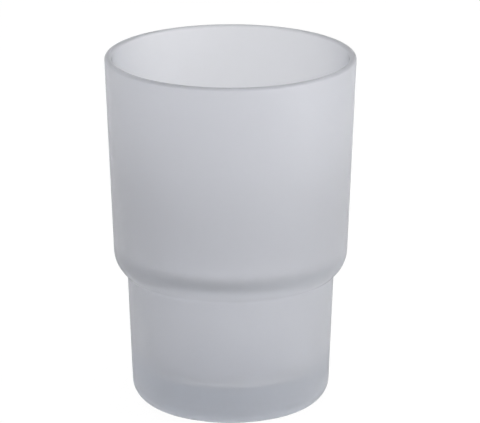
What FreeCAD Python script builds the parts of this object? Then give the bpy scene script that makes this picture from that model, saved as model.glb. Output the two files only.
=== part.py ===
"""Stepped bathroom tumbler, one piece of frosted glass.

A wide, gently tapering bowl turns in over a soft shoulder to a narrower foot, which drops into the ring
of a wall holder. The foot's wall is thicker than the bowl's, so the ledge between them inside is deeper
than the shoulder outside, and it sits a little higher. The base is heavy, and dished underneath so that
the glass stands on a narrow ring. Millimetres, +Z up, with the origin on the tumbler's axis in the plane
of that standing ring.
"""

import FreeCAD, Part
import Sketcher

import math
import os

# Driving dimensions in millimetres, apart from the draft, in degrees, and the share of the bowl's wall that
# rounds the lip. The foot reaches up to where the shoulder meets the bowl, and the bowl from there to the
# rim. The step is the distance between the bowl's wall and the foot's, which are parallel. The ledge is the
# shoulder's inside: its rise is how much higher it sits, its edge is over the foot, and its corner is under
# the bowl. The punt is the dish under the base.
DIMENSIONS = {
    "rim_diameter": 70.0,
    "foot_height": 44.5,
    "bowl_height": 55.5,
    "draft": 2.25,
    "bowl_wall": 2.0,
    "foot_wall": 3.4,
    "shoulder_step": 3.5,
    "shoulder_radius": 8.6,
    "notch_radius": 2.0,
    "ledge_rise": 1.8,
    "ledge_corner_radius": 4.0,
    "ledge_edge_radius": 5.5,
    "base_thickness": 9.9,
    "base_corner_radius": 6.0,
    "floor_corner_radius": 6.5,
    "standing_ring_width": 2.8,
    "punt_depth": 1.2,
    "lip_round_share": 0.46,
}

# Sizes that follow from those
RIM_RADIUS = "size.rim_diameter / 2"
RIM_HEIGHT = "size.foot_height + size.bowl_height"
FOOT_RADIUS = f"{RIM_RADIUS} - size.shoulder_step / cos(size.draft) - ({RIM_HEIGHT}) * tan(size.draft)"
BASE_ROUND_RUN = "size.base_corner_radius * tan(45 - size.draft / 2)"
PUNT_RADIUS = f"{FOOT_RADIUS} - {BASE_ROUND_RUN} - size.standing_ring_width"

# The sizes of the two stepped sections. The bend is where the shoulder meets the bowl's wall, and the notch
# is where the foot's wall meets the shoulder.
OUTSIDE = {
    "bottom": "0",
    "rim_radius": RIM_RADIUS,
    "bend_height": "size.foot_height",
    "step": "size.shoulder_step",
    "shoulder_radius": "size.shoulder_radius",
    "notch_radius": "size.notch_radius",
}
INSIDE = {
    "bottom": "size.base_thickness",
    "rim_radius": f"{RIM_RADIUS} - size.bowl_wall / cos(size.draft)",
    "bend_height": "size.foot_height + size.ledge_rise",
    "step": "size.shoulder_step + size.foot_wall - size.bowl_wall",
    "shoulder_radius": "size.ledge_corner_radius",
    "notch_radius": "size.ledge_edge_radius",
}

# Order of the lines and arcs in a stepped section: from the axis out along the bottom, and up to the rim
BOTTOM, FOOT_WALL, NOTCH, SHOULDER, BOWL_WALL, MOUTH, AXIS = range(7)

# Ends of a sketch line or arc, the centre of an arc, and the sketch's own origin and axes
START, END, CENTRE = 1, 2, 3
ORIGIN = (-1, START)
ACROSS, UPRIGHT = -1, -2

FULL_TURN = 360
MM3_PER_ML = 1000

# How near a round edge lies to a corner's path to be that edge, as a share of the corner's distance out
EDGE_MATCH_SHARE = 1e-4


def make_sheet(doc):
    """The spreadsheet that holds the driving dimensions."""
    sheet = doc.addObject("Spreadsheet::Sheet", "size")
    for row, (alias, value) in enumerate(DIMENSIONS.items(), start=1):
        sheet.set(f"A{row}", alias)
        sheet.set(f"B{row}", str(value))
        sheet.setAlias(f"B{row}", alias)
    doc.recompute()


def value_of(item, expression):
    """The number that an expression in the sheet's dimensions comes to."""
    return float(item.evalExpression(expression))


def section_sketch(body, name):
    """An empty sketch on the body's upright plane, with the radius across and the height up."""
    sketch = body.newObject("Sketcher::SketchObject", name)
    plane = next(item for item in body.Origin.OriginFeatures if item.Role == "XZ_Plane")
    sketch.AttachmentSupport = (plane, [""])
    sketch.MapMode = "FlatFace"
    return sketch


def line(x_1, y_1, x_2, y_2):
    return Part.LineSegment(FreeCAD.Vector(x_1, y_1, 0), FreeCAD.Vector(x_2, y_2, 0))


def arc(x, y, radius, first, last):
    """An arc about (x, y), anticlockwise between two angles in radians."""
    circle = Part.Circle(FreeCAD.Vector(x, y, 0), FreeCAD.Vector(0, 0, 1), radius)
    return Part.ArcOfCircle(circle, first, last)


def tie(sketch, name, kind, places, expression):
    """Adds a dimension to a sketch and ties it to the sheet."""
    value = value_of(sketch, expression)
    if kind == "Angle":
        value = math.radians(value)
    index = sketch.addConstraint(Sketcher.Constraint(kind, *places, value))
    sketch.renameConstraint(index, name)
    sketch.setExpression(f"Constraints.{name}", expression)


def stepped_section(body, name, sizes):
    """Half the section of a stepped cup: a foot wall, a notch and shoulder in an S-curve, a bowl wall."""
    sketch = section_sketch(body, name)
    top = value_of(sketch, RIM_HEIGHT)
    floor, bowl, bend, step, shoulder, notch = [value_of(sketch, size) for size in sizes.values()]
    foot = bowl - step
    # The two arcs of the S-curve touch on the line between their centres
    across = foot + notch - (bowl - shoulder)
    turn = math.acos(across / (shoulder + notch))
    below = bend - across * math.tan(turn)
    sketch.addGeometry([
        line(0, floor, foot, floor),
        line(foot, floor, foot, below),
        arc(foot + notch, below, notch, math.pi - turn, math.pi),
        arc(bowl - shoulder, bend, shoulder, -turn, 0),
        line(bowl, bend, bowl, top),
        line(bowl, top, 0, top),
        line(0, top, 0, floor),
    ], False)
    sketch.addConstraint([
        Sketcher.Constraint("Coincident", BOTTOM, END, FOOT_WALL, START),
        Sketcher.Constraint("Tangent", FOOT_WALL, END, NOTCH, END),
        Sketcher.Constraint("Tangent", NOTCH, START, SHOULDER, START),
        Sketcher.Constraint("Tangent", SHOULDER, END, BOWL_WALL, START),
        Sketcher.Constraint("Coincident", BOWL_WALL, END, MOUTH, START),
        Sketcher.Constraint("Coincident", MOUTH, END, AXIS, START),
        Sketcher.Constraint("Coincident", AXIS, END, BOTTOM, START),
        Sketcher.Constraint("PointOnObject", BOTTOM, START, UPRIGHT),
        Sketcher.Constraint("Horizontal", BOTTOM),
        Sketcher.Constraint("Horizontal", MOUTH),
        Sketcher.Constraint("Vertical", AXIS),
        Sketcher.Constraint("Parallel", FOOT_WALL, BOWL_WALL),
    ])
    places = {
        "bottom": ("DistanceY", (*ORIGIN, BOTTOM, START)),
        "rim_radius": ("DistanceX", (*ORIGIN, BOWL_WALL, END)),
        "bend_height": ("DistanceY", (*ORIGIN, SHOULDER, CENTRE)),
        "step": ("Distance", (FOOT_WALL, START, BOWL_WALL)),
        "shoulder_radius": ("Radius", (SHOULDER,)),
        "notch_radius": ("Radius", (NOTCH,)),
    }
    tie(sketch, "rim_height", "DistanceY", (*ORIGIN, BOWL_WALL, END), RIM_HEIGHT)
    for size, (kind, place) in places.items():
        tie(sketch, size, kind, place, sizes[size])
    tie(sketch, "slope", "Angle", (BOWL_WALL,), "90 - size.draft")
    return sketch


def punt_section(body):
    """Half the section of the shallow dish under the base."""
    sketch = section_sketch(body, "punt_section")
    depth = value_of(sketch, "size.punt_depth")
    edge = value_of(sketch, PUNT_RADIUS)
    radius = (edge ** 2 + depth ** 2) / (2 * depth)
    slope = math.asin(edge / radius)
    dish, middle, flat = range(3)
    sketch.addGeometry([
        arc(0, depth - radius, radius, math.pi / 2 - slope, math.pi / 2),
        line(0, depth, 0, 0),
        line(0, 0, edge, 0),
    ], False)
    sketch.addConstraint([
        Sketcher.Constraint("Coincident", dish, END, middle, START),
        Sketcher.Constraint("Coincident", middle, END, flat, START),
        Sketcher.Constraint("Coincident", flat, END, dish, START),
        Sketcher.Constraint("Coincident", middle, END, *ORIGIN),
        Sketcher.Constraint("PointOnObject", dish, END, UPRIGHT),
        Sketcher.Constraint("PointOnObject", dish, START, ACROSS),
        Sketcher.Constraint("PointOnObject", dish, CENTRE, UPRIGHT),
    ])
    tie(sketch, "depth", "DistanceY", (*ORIGIN, middle, START), "size.punt_depth")
    tie(sketch, "edge_radius", "DistanceX", (*ORIGIN, flat, END), PUNT_RADIUS)
    return sketch


def turn_section(body, kind, name, sketch):
    """Turns a section right round the tumbler's axis, to add glass or to take it away."""
    feature = body.newObject(kind, name)
    feature.Profile = sketch
    feature.ReferenceAxis = (sketch, ["V_Axis"])
    feature.Angle = FULL_TURN
    sketch.Visibility = False
    body.Document.recompute()
    return feature


def cut_section(body, name, sketch):
    """Turns a section out of the glass, and makes sure that it took some away."""
    before = body.Shape.Volume
    feature = turn_section(body, "PartDesign::Groove", name, sketch)
    if not feature.Shape.Volume < before:
        raise RuntimeError(f"{name} took no glass away")
    print(f"{name}: {(before - feature.Shape.Volume) / MM3_PER_ML:.1f} ml")


def ring_edge(shape, corner):
    """The name of the round edge that a corner of a section sweeps."""
    for number, edge in enumerate(shape.Edges, start=1):
        if edge.Degenerated or not isinstance(edge.Curve, Part.Circle):
            continue
        swept = FreeCAD.Vector(edge.Curve.Radius, edge.Curve.Center.z, 0)
        if swept.distanceToPoint(corner) < EDGE_MATCH_SHARE * corner.Length:
            return f"Edge{number}"
    raise RuntimeError(f"no round edge at {corner}")


def round_rings(body, name, corners, radius):
    """Rounds the edges that the named corners of the sections sweep."""
    base = body.Tip
    feature = body.newObject("PartDesign::Fillet", name)
    edges = [ring_edge(base.Shape, sketch.getPoint(part, end)) for sketch, part, end in corners]
    feature.Base = (base, edges)
    feature.setExpression("Radius", radius)
    body.Document.recompute()


def make_tumbler(doc):
    """The whole tumbler: a turned blank, its hollow, the dish under the base, and the rounded edges."""
    body = doc.addObject("PartDesign::Body", "glass_tumbler")
    body.Label = "glass_tumbler"
    body.Placement = FreeCAD.Placement()

    outside = stepped_section(body, "outer_section", OUTSIDE)
    turn_section(body, "PartDesign::Revolution", "blank", outside)

    inside = stepped_section(body, "cavity_section", INSIDE)
    cut_section(body, "cavity", inside)
    cut_section(body, "punt", punt_section(body))

    round_rings(body, "base_corner", [(outside, BOTTOM, END)], "size.base_corner_radius")
    round_rings(body, "floor_corner", [(inside, BOTTOM, END)], "size.floor_corner_radius")
    lip = [(outside, BOWL_WALL, END), (inside, BOWL_WALL, END)]
    round_rings(body, "lip", lip, "size.bowl_wall * size.lip_round_share")
    return body


def check_document(doc):
    """Stops if anything in the document failed to build."""
    for item in doc.Objects:
        if {"Invalid", "Error"} & set(item.State):
            raise RuntimeError(f"{item.Label} failed: {item.State}")
        if item.isDerivedFrom("Sketcher::SketchObject") and not item.FullyConstrained:
            raise RuntimeError(f"{item.Label} is not fully constrained")


def export(body):
    """Writes one sub-part, once its solid is known to be sound."""
    shape = body.Shape
    if shape.isNull() or not shape.isValid() or len(shape.Solids) != 1:
        raise RuntimeError(f"{body.Label} is not one sound solid")
    shape.exportStep(f"parts/{body.Label}.step")
    box = shape.optimalBoundingBox(False)
    print(f"{body.Label}: {box.XLength:.2f} x {box.YLength:.2f} x {box.ZLength:.2f} mm, "
          f"{shape.Volume / MM3_PER_ML:.1f} ml of glass")


def main():
    doc = FreeCAD.newDocument("tumbler")
    make_sheet(doc)
    tumbler = make_tumbler(doc)
    doc.recompute()
    check_document(doc)
    os.makedirs("parts", exist_ok=True)
    export(tumbler)


main()
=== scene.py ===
# %% [markdown]
# # A frosted bathroom tumbler
# The tumbler is one piece of glass: a wide, slightly tapering bowl that turns in over a soft shoulder to a
# narrower foot, with a heavy base. Both faces are etched matt, so light comes through but shapes don't. The
# lesson draws the glass as a section and spins it, as a glassmaker's mould is turned, then spends its care
# on the frost, because on so plain a shape the finish is what the eye looks at.

import math

import bpy
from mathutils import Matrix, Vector


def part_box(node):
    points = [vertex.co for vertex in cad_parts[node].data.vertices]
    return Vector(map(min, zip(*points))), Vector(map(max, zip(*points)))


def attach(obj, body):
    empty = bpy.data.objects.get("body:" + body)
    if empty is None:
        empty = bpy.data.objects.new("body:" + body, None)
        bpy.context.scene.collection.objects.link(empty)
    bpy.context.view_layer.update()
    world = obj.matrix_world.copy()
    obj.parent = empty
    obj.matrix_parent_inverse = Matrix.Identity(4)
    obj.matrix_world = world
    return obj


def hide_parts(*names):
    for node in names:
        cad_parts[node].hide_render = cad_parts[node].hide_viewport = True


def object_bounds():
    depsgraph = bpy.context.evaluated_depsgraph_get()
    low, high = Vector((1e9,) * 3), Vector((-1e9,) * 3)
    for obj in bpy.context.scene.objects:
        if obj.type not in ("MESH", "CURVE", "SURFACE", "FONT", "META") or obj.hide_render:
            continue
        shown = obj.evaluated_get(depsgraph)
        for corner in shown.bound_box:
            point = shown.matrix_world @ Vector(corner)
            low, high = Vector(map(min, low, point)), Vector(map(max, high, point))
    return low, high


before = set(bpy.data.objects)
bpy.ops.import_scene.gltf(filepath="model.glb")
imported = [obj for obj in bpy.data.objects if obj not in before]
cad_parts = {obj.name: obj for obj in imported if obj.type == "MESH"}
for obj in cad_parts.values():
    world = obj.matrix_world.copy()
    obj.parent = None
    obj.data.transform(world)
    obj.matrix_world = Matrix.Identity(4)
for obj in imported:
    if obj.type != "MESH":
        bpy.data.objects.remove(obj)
cad_low, cad_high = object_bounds()
print("nodes:", sorted(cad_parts), "box:", tuple(cad_low), tuple(cad_high))

# %% [markdown]
# ## Camera
# A long lens flattens the ellipses of a round object, so the distance matters as much as the height. Here a
# camera 1.1 m away looks down by 17.5 degrees, which gives the mouth, the shoulder and the base the
# curves that they have in the picture. Turning the camera a little off the tumbler's axis puts the glass at
# its place in the frame, so the lens needs no shift.

# %% Place the camera
PICTURE_WIDTH = 480
PICTURE_HEIGHT = 423
AXIS_COLUMN = 230.6
MIDDLE_ROW = 227.3
PIXELS_PER_METRE = 3561.0
CAMERA_DISTANCE = 1.1
CAMERA_ELEVATION = math.radians(17.5)
SENSOR_WIDTH = 36.0

middle = Vector((0, 0, (cad_low.z + cad_high.z) / 2))
backward = Vector((0, -math.cos(CAMERA_ELEVATION), math.sin(CAMERA_ELEVATION)))
upward = Vector((0, math.sin(CAMERA_ELEVATION), math.cos(CAMERA_ELEVATION)))
aim = middle.copy()
aim.x += (PICTURE_WIDTH / 2 - AXIS_COLUMN) / PIXELS_PER_METRE
aim += upward * (MIDDLE_ROW - PICTURE_HEIGHT / 2) / PIXELS_PER_METRE

bpy.ops.object.select_all(action="DESELECT")
bpy.ops.object.camera_add(location=middle + backward * CAMERA_DISTANCE)
camera = bpy.context.object
camera.rotation_euler = (aim - camera.location).to_track_quat("-Z", "Y").to_euler()
camera.data.sensor_width = SENSOR_WIDTH
camera.data.lens = SENSOR_WIDTH * PIXELS_PER_METRE * CAMERA_DISTANCE / PICTURE_WIDTH
bpy.context.scene.camera = camera
print(f"camera: {camera.data.lens:.0f} mm lens, aimed at {tuple(round(v, 4) for v in aim)}")

# %% [markdown]
# ## Sizes of the section
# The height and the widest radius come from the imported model's box, so the new glass fills just that space.
# The rest are the tumbler's own sizes in metres. All the walls lean by the same draft, which let the glass
# out of its mould. The foot's wall is thicker than the bowl's, so the step inside, a ledge, is deeper than
# the shoulder outside, and it sits a little higher. From outside that ledge shows as a soft dark band.

# %% Name the sizes
DRAFT = math.radians(2.25)
BOWL_WALL = 0.002
FOOT_WALL = 0.0034
FOOT_HEIGHT = 0.0445
SHOULDER_STEP = 0.0035
SHOULDER_RADIUS = 0.0086
NOTCH_RADIUS = 0.002
LEDGE_RISE = 0.0018
LEDGE_CORNER_RADIUS = 0.004
LEDGE_EDGE_RADIUS = 0.0055
BASE_THICKNESS = 0.0099
BASE_CORNER_RADIUS = 0.006
FLOOR_CORNER_RADIUS = 0.0065
STANDING_RING_WIDTH = 0.0028
PUNT_DEPTH = 0.0012
LIP_ROUND_SHARE = 0.46

MM_PER_METRE = 1000

low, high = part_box("glass_tumbler")
rim_height = high.z
lip_radius = BOWL_WALL * LIP_ROUND_SHARE
lean, rise = math.sin(DRAFT), math.cos(DRAFT)
rim_radius = (high.x - low.x) / 2 + lip_radius * (math.tan(DRAFT) + 1 / rise - 1)
foot_radius = rim_radius - SHOULDER_STEP / rise - rim_height * math.tan(DRAFT)
print(f"rim {2 * rim_radius * MM_PER_METRE:.2f} mm across, foot {2 * foot_radius * MM_PER_METRE:.2f} mm, "
      f"{rim_height * MM_PER_METRE:.1f} mm tall")

# %% [markdown]
# ## A pen that draws sections
# A section is a chain of edges. Extruding one vertex draws a straight run, and spinning one vertex round a
# point draws an arc, so those two operators are a pen. It remembers where it is and which way it points, as
# a turtle does, and every bend then leaves the line smooth. The pen draws in the XZ plane, with X as the
# radius. Long runs get cuts too, so that shading stays even on the long faces beside the tight bends.

# %% Make the pen
RUN_LENGTH = 0.002
BEND_STEP = math.radians(5)

pen = {"place": Vector((0, 0, 0)), "heading": 0.0}


def start_section(name, place, heading):
    """Shrinks a small plane to one selected vertex, which the pen then draws out."""
    bpy.ops.object.select_all(action="DESELECT")
    bpy.ops.mesh.primitive_plane_add(size=BOWL_WALL, location=(0, 0, 0))
    piece = bpy.context.object
    piece.name = piece.data.name = name
    bpy.ops.object.mode_set(mode="EDIT")
    bpy.ops.mesh.select_mode(type="VERT")
    bpy.ops.mesh.select_all(action="SELECT")
    bpy.ops.mesh.merge(type="CENTER")
    bpy.ops.transform.translate(value=place)
    pen["place"], pen["heading"] = Vector(place), heading
    return piece


def ahead():
    return Vector((math.cos(pen["heading"]), 0, math.sin(pen["heading"])))


def to_left():
    return Vector((-math.sin(pen["heading"]), 0, math.cos(pen["heading"])))


def straight(length):
    """Extrudes the end vertex along the heading, in equal runs."""
    cuts = math.ceil(length / RUN_LENGTH)
    for _ in range(cuts):
        bpy.ops.mesh.extrude_region_move(TRANSFORM_OT_translate={"value": ahead() * length / cuts})
    pen["place"] += ahead() * length


def bend(radius, turn):
    """Spins the end vertex through a bend, to the left where the turn is positive."""
    cuts = math.ceil(max(abs(turn) / BEND_STEP, radius * abs(turn) / RUN_LENGTH))
    side = math.copysign(1, turn)
    centre = pen["place"] + to_left() * side * radius
    bpy.ops.mesh.spin(steps=cuts, angle=abs(turn), center=centre, axis=(0, side, 0))
    pen["heading"] += turn
    pen["place"] = centre - to_left() * side * radius


print(f"pen ready: runs of up to {RUN_LENGTH * MM_PER_METRE:.0f} mm, "
      f"bends in steps of up to {math.degrees(BEND_STEP):.0f} degrees")

# %% [markdown]
# ## Outside of the glass
# The pen starts under the base, at the middle of the shallow dish that keeps the glass from rocking, and
# goes out along the dish, across the ring that the glass stands on and round the base corner. It climbs the
# foot, makes the shoulder as a right and a left bend of the same turn, and climbs the bowl to the lip.

# %% Draw the outside
upright_turn = math.pi / 2 - DRAFT
dish_edge = foot_radius - BASE_CORNER_RADIUS * math.tan(upright_turn / 2) - STANDING_RING_WIDTH
dish_radius = (dish_edge ** 2 + PUNT_DEPTH ** 2) / (2 * PUNT_DEPTH)


def step_turn(step, radii):
    """The turn of each of two touching arcs that carry the line over a step."""
    return math.acos(1 - step / radii)


def climb(bottom, top):
    """Length of a leaning wall between two heights."""
    return (top - bottom) / rise


shoulder_radii = SHOULDER_RADIUS + NOTCH_RADIUS
shoulder_turn = step_turn(SHOULDER_STEP, shoulder_radii)
notch_height = FOOT_HEIGHT - shoulder_radii * math.sin(shoulder_turn + DRAFT)

tumbler = start_section("frosted_tumbler", (0, 0, PUNT_DEPTH), 0.0)
bend(dish_radius, -math.asin(dish_edge / dish_radius))
pen["heading"] = 0.0
straight(STANDING_RING_WIDTH)
bend(BASE_CORNER_RADIUS, upright_turn)
straight(climb(BASE_CORNER_RADIUS * (1 - lean), notch_height + NOTCH_RADIUS * lean))
bend(NOTCH_RADIUS, -shoulder_turn)
bend(SHOULDER_RADIUS, shoulder_turn)
straight(climb(FOOT_HEIGHT - SHOULDER_RADIUS * lean, rim_height - lip_radius * (1 + lean)))
print(f"outside drawn to radius {pen['place'].x * MM_PER_METRE:.2f} mm, "
      f"{pen['place'].z * MM_PER_METRE:.2f} mm up")

# %% [markdown]
# ## Lip and inside of the glass
# The lip was melted round in a flame, so two quarter bends nearly meet on top of the wall. The same pen
# goes down the bowl, over the ledge and down the foot, rounds the corner of the floor and runs to the axis.
# If the sizes are right it arrives there at the thickness of the base, which is a good test.

# %% Draw the lip and the inside
ledge_radii = LEDGE_CORNER_RADIUS + LEDGE_EDGE_RADIUS
ledge_turn = step_turn(SHOULDER_STEP + FOOT_WALL - BOWL_WALL, ledge_radii)
corner_height = FOOT_HEIGHT + LEDGE_RISE
edge_height = corner_height - ledge_radii * math.sin(ledge_turn + DRAFT)
floor_corner_top = BASE_THICKNESS + FLOOR_CORNER_RADIUS * (1 - lean)

bend(lip_radius, math.pi - upright_turn)
straight((BOWL_WALL - 2 * lip_radius) / rise)
bend(lip_radius, upright_turn)
straight(climb(corner_height - LEDGE_CORNER_RADIUS * lean, rim_height - lip_radius * (1 - lean)))
bend(LEDGE_CORNER_RADIUS, -ledge_turn)
bend(LEDGE_EDGE_RADIUS, ledge_turn)
straight(climb(floor_corner_top, edge_height + LEDGE_EDGE_RADIUS * lean))
bend(FLOOR_CORNER_RADIUS, -upright_turn)
straight(pen["place"].x)
miss = pen["place"] - Vector((0, 0, BASE_THICKNESS))
print(f"inside drawn to the axis, {miss.length * MM_PER_METRE:.6f} mm from the middle of the floor")

# %% [markdown]
# ## Spin the section into a tumbler
# Spinning the whole chain once round the axis makes every wall at once. The last ring lies on the first,
# and each end of the chain becomes a heap of vertices on the axis, so doubles are merged to close the seam
# and both poles. After that the faces can be turned to point out into the air, inside the bowl too. Glass
# needs a closed mesh, because the shader counts on leaving the glass wherever it went in.

# %% Spin, merge and turn the faces outwards
SPIN_STEPS = 160
MERGE_DISTANCE = 1e-6

bpy.ops.mesh.select_all(action="SELECT")
bpy.ops.mesh.spin(steps=SPIN_STEPS, angle=math.tau, center=(0, 0, 0), axis=(0, 0, 1))
bpy.ops.mesh.select_all(action="SELECT")
bpy.ops.mesh.remove_doubles(threshold=MERGE_DISTANCE)
bpy.ops.mesh.normals_make_consistent(inside=False)
bpy.ops.object.mode_set(mode="OBJECT")
bpy.ops.object.shade_smooth()
edge_uses = {}
for polygon in tumbler.data.polygons:
    for edge in polygon.edge_keys:
        edge_uses[edge] = edge_uses.get(edge, 0) + 1
open_edges = sum(uses != 2 for uses in edge_uses.values())
print(f"tumbler: {len(tumbler.data.polygons)} faces, {open_edges} open edges")

# %% [markdown]
# ## Glass under the frost
# Etched glass is clear glass with a rough skin. A milky plastic would be the quick way, but then the wall
# wouldn't glow and the heavy base wouldn't darken. So the shader is mostly glass, with a small share that
# scatters light in the skin. A faint absorption inside the glass takes out some red, and it only shows
# where the glass is thick. These values are the same all over, so they are set on the shader itself.

# %% Make the glass
GLASS_IOR = 1.5
CLEAR_SHARE = 0.83
ABSORPTION_PER_METRE = 12.0
ABSORPTION_COLOUR = (0.0, 0.1, 0.25, 1.0)

glass = bpy.data.materials.new("etched_glass")
glass.use_nodes = True
nodes, links = glass.node_tree.nodes, glass.node_tree.links
skin = nodes["Principled BSDF"]
skin.inputs["IOR"].default_value = GLASS_IOR
skin.inputs["Transmission Weight"].default_value = CLEAR_SHARE
body = nodes.new("ShaderNodeVolumeAbsorption")
body.inputs["Color"].default_value = ABSORPTION_COLOUR
body.inputs["Density"].default_value = ABSORPTION_PER_METRE
links.new(body.outputs["Volume"], nodes["Material Output"].inputs["Volume"])
tumbler.data.materials.clear()
tumbler.data.materials.append(glass)

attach(tumbler, "root")
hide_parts("glass_tumbler")
print("glass on", tumbler.name, "in slot frosted_glass")

# %% [markdown]
# ## Colour of the frost, with painted shade
# The frost is a cool grey white. A colour ramp along the object's own height paints shade into it: painted
# shade makes it a little darker on the foot and darker still low on the bowl, it is paler again at the very
# bottom, and a grey line of painted shade runs round the top of the lip, where the rounded lip bends the
# light. Because it goes by height, the tone stays with the glass from every side. Its stops are shares of the
# height. The grey line fades in between two depths below the rim, which are shares of the lip's radius.

# %% Grade the frost by height, with painted shade
# The darker stops for the foot and the low bowl are painted shade; the bowl's stop is the frost's own colour,
# and the bottom's stop is paler.
BOTTOM_FROST = (0.930, 0.936, 0.966)
FOOT_PAINTED_SHADE = (0.853, 0.859, 0.889)
LOW_BOWL_PAINTED_SHADE = (0.796, 0.802, 0.832)
BOWL_FROST = (0.904, 0.910, 0.942)
# The lip's stop is a grey line of painted shade, where the rounded lip bends the light.
LIP_PAINTED_SHADE = (0.560, 0.566, 0.592)
LIP_FADE_SHARES = (0.75, 0.1)

lip_from, lip_to = (1 - depth_share * lip_radius / rim_height for depth_share in LIP_FADE_SHARES)
frost_and_shade_shares = (
    (0.0, BOTTOM_FROST),
    (0.12, FOOT_PAINTED_SHADE),
    (0.40, FOOT_PAINTED_SHADE),
    (0.54, LOW_BOWL_PAINTED_SHADE),
    (0.86, BOWL_FROST),
    (lip_from, BOWL_FROST),
    (lip_to, LIP_PAINTED_SHADE),
)

place = nodes.new("ShaderNodeTexCoord")
height = nodes.new("ShaderNodeSeparateXYZ")
share = nodes.new("ShaderNodeMapRange")
share.inputs["From Max"].default_value = rim_height
# This ramp paints shade into the glass's base colour by height.
frost_and_shade = nodes.new("ShaderNodeValToRGB")
frost_and_shade.color_ramp.interpolation = "EASE"
while len(frost_and_shade.color_ramp.elements) < len(frost_and_shade_shares):
    frost_and_shade.color_ramp.elements.new(1.0)
for element, (height_share, colour) in zip(frost_and_shade.color_ramp.elements, frost_and_shade_shares):
    element.position = height_share
    element.color = (*colour, 1.0)
links.new(place.outputs["Object"], height.inputs["Vector"])
links.new(height.outputs["Z"], share.inputs["Value"])
links.new(share.outputs["Result"], frost_and_shade.inputs["Fac"])
links.new(frost_and_shade.outputs["Color"], skin.inputs["Base Color"])
print("frost graded over", len(frost_and_shade_shares), "heights")

# %% [markdown]
# ## Grain of the frost
# Acid leaves a satin of tiny pits. They are far too small to model, so roughness stands for them, and two
# noises keep it from looking like plastic: soft clouds that vary the roughness a little, and a fine grain
# that bumps the surface and catches the light close up. The top of the lip is smoother, as a flame leaves
# it.

# %% Roughen the frost
ETCH_ROUGHNESS = (0.42, 0.5)
LIP_ROUGHNESS = 0.35
CLOUD_SIZE = 0.012
GRAIN_SIZE = 0.0004
GRAIN_DEPTH = 0.000003

clouds = nodes.new("ShaderNodeTexNoise")
clouds.inputs["Scale"].default_value = 1 / CLOUD_SIZE
roughness = nodes.new("ShaderNodeMapRange")
roughness.inputs["To Min"].default_value, roughness.inputs["To Max"].default_value = ETCH_ROUGHNESS
lip = nodes.new("ShaderNodeMapRange")
lip.inputs["From Min"].default_value, lip.inputs["From Max"].default_value = lip_from, lip_to
lip.inputs["To Max"].default_value = LIP_ROUGHNESS
grain = nodes.new("ShaderNodeTexNoise")
grain.inputs["Scale"].default_value = 1 / GRAIN_SIZE
bump = nodes.new("ShaderNodeBump")
bump.inputs["Distance"].default_value = GRAIN_DEPTH
links.new(place.outputs["Object"], clouds.inputs["Vector"])
links.new(clouds.outputs["Fac"], roughness.inputs["Value"])
links.new(share.outputs["Result"], lip.inputs["Value"])
links.new(roughness.outputs["Result"], lip.inputs["To Min"])
links.new(lip.outputs["Result"], skin.inputs["Roughness"])
links.new(place.outputs["Object"], grain.inputs["Vector"])
links.new(grain.outputs["Fac"], bump.inputs["Height"])
links.new(bump.outputs["Normal"], skin.inputs["Normal"])
print(f"grain of {GRAIN_SIZE * MM_PER_METRE:.1f} mm, roughness {ETCH_ROUGHNESS[0]} to {ETCH_ROUGHNESS[1]}, "
      f"{LIP_ROUGHNESS} on the lip")

# %% [markdown]
# ## What the camera and the glass see
# A white background has to look white without pouring more light on the glass. Blender's Light Path node
# tells what kind of ray meets a surface, so the floor and the room can show one strength to the camera,
# another to rays that leave the glass, and a plain one to the light itself. Both use these two helpers.

# %% Make the helpers for what is seen
def combine(tree, operation, first, second):
    """A maths node on two sockets, or on a socket and a number."""
    node = tree.nodes.new("ShaderNodeMath")
    node.operation = operation
    for socket, value in zip(node.inputs, (first, second)):
        if isinstance(value, float):
            socket.default_value = value
        else:
            tree.links.new(value, socket)
    return node.outputs["Value"]


def seen_share(tree, in_camera, in_glass):
    """One share for rays from the camera, another for rays from the glass, and none for plain light."""
    rays = tree.nodes.new("ShaderNodeLightPath").outputs
    from_glass = combine(tree, "MAXIMUM", rays["Is Glossy Ray"], rays["Is Transmission Ray"])
    camera_share = combine(tree, "MULTIPLY", rays["Is Camera Ray"], in_camera)
    glass_share = combine(tree, "MULTIPLY", from_glass, in_glass)
    return combine(tree, "MAXIMUM", camera_share, glass_share)


print("helpers ready: combine and seen_share")

# %% [markdown]
# ## Floor
# A plain plane is enough for the floor, because nothing of it shows but a faint shadow. It is large, so
# that its far edge, white against white, is lost even in low views.

# %% Lay the floor
FLOOR_SIZE = 12.0

bpy.ops.object.select_all(action="DESELECT")
bpy.ops.mesh.primitive_plane_add(size=FLOOR_SIZE, location=(0, 0, 0))
floor = bpy.context.object
floor.name = floor.data.name = "floor"
print(f"floor of {FLOOR_SIZE:.0f} m laid")

# %% [markdown]
# ## Paper of the floor
# A product photographer lays white paper and lights it until it burns out, which leaves only a breath of
# shadow. Here the camera sees mostly glow and a little of the lit paper with its shadow, and the glow is
# as strong as it has to be for both to add up to white. The glass sees half of each, so the shadow under
# and behind the tumbler still darkens the foot.

# %% Make the paper
PAPER_WHITE = 0.95
ROOM_LIGHT = 0.67
GLOW_CAMERA_SHARE = 0.94
GLOW_GLASS_SHARE = 0.5

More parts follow.
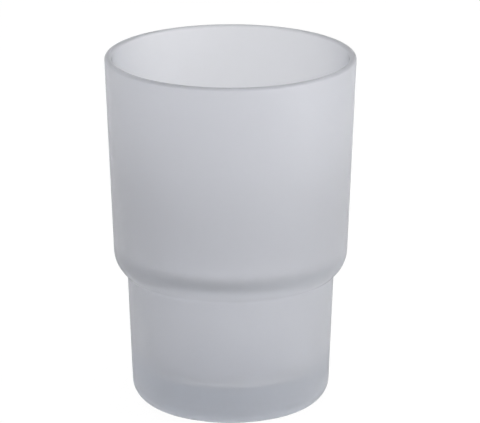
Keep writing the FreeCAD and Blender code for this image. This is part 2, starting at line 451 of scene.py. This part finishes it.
paper = bpy.data.materials.new("white_paper")
paper.use_nodes = True
tree = paper.node_tree
matt = tree.nodes["Principled BSDF"]
matt.inputs["Base Color"].default_value = (PAPER_WHITE, PAPER_WHITE, PAPER_WHITE, 1.0)
matt.inputs["Roughness"].default_value = 1.0
matt.inputs["Specular IOR Level"].default_value = 0.0
glow = tree.nodes.new("ShaderNodeEmission")
lit_paper = (1 - GLOW_CAMERA_SHARE) * PAPER_WHITE * ROOM_LIGHT
glow.inputs["Strength"].default_value = (1 - lit_paper) / GLOW_CAMERA_SHARE
blend = tree.nodes.new("ShaderNodeMixShader")
tree.links.new(seen_share(tree, GLOW_CAMERA_SHARE, GLOW_GLASS_SHARE), blend.inputs["Fac"])
tree.links.new(matt.outputs["BSDF"], blend.inputs[1])
tree.links.new(glow.outputs["Emission"], blend.inputs[2])
tree.links.new(blend.outputs["Shader"], tree.nodes["Material Output"].inputs["Surface"])
floor.data.materials.append(paper)
print(f"paper glows at {glow.inputs['Strength'].default_value:.3f}")

# %% [markdown]
# ## Light
# The room is an even white, a little weaker as light than as background. One soft lamp stands low on the
# right, so the glass is lighter on that side. A weaker and larger one hangs high on the left and sends its
# light down into the mouth, where the low lamp hardly reaches, so the inside stays even.

# %% Light the tumbler
ROOM_SEEN = 1.0
KEY_PLACE = (0.40, -0.15, 0.16)
KEY_SIZE = 0.25
KEY_WATTS = 0.97
TOP_PLACE = (-0.15, -0.15, 0.6)
TOP_SIZE = 0.4
TOP_WATTS = 0.6


def hang_lamp(name, place, size, watts):
    """A square lamp that faces the middle of the tumbler."""
    bpy.ops.object.light_add(type="AREA", location=place)
    lamp = bpy.context.object
    lamp.name = lamp.data.name = name
    lamp.data.size = size
    lamp.data.energy = watts
    lamp.rotation_euler = (middle - lamp.location).to_track_quat("-Z", "Y").to_euler()


world = bpy.data.worlds.new("studio")
bpy.context.scene.world = world
world.use_nodes = True
tree = world.node_tree
sky = tree.nodes["Background"]
sky.inputs["Color"].default_value = (1, 1, 1, 1)
extra = ROOM_SEEN - ROOM_LIGHT
tree.links.new(combine(tree, "ADD", seen_share(tree, extra, extra), ROOM_LIGHT), sky.inputs["Strength"])

hang_lamp("key_light", KEY_PLACE, KEY_SIZE, KEY_WATTS)
hang_lamp("top_light", TOP_PLACE, TOP_SIZE, TOP_WATTS)
bpy.context.scene.view_settings.view_transform = "Standard"
print(f"room at {ROOM_LIGHT}, lamps of {KEY_WATTS} and {TOP_WATTS} W")
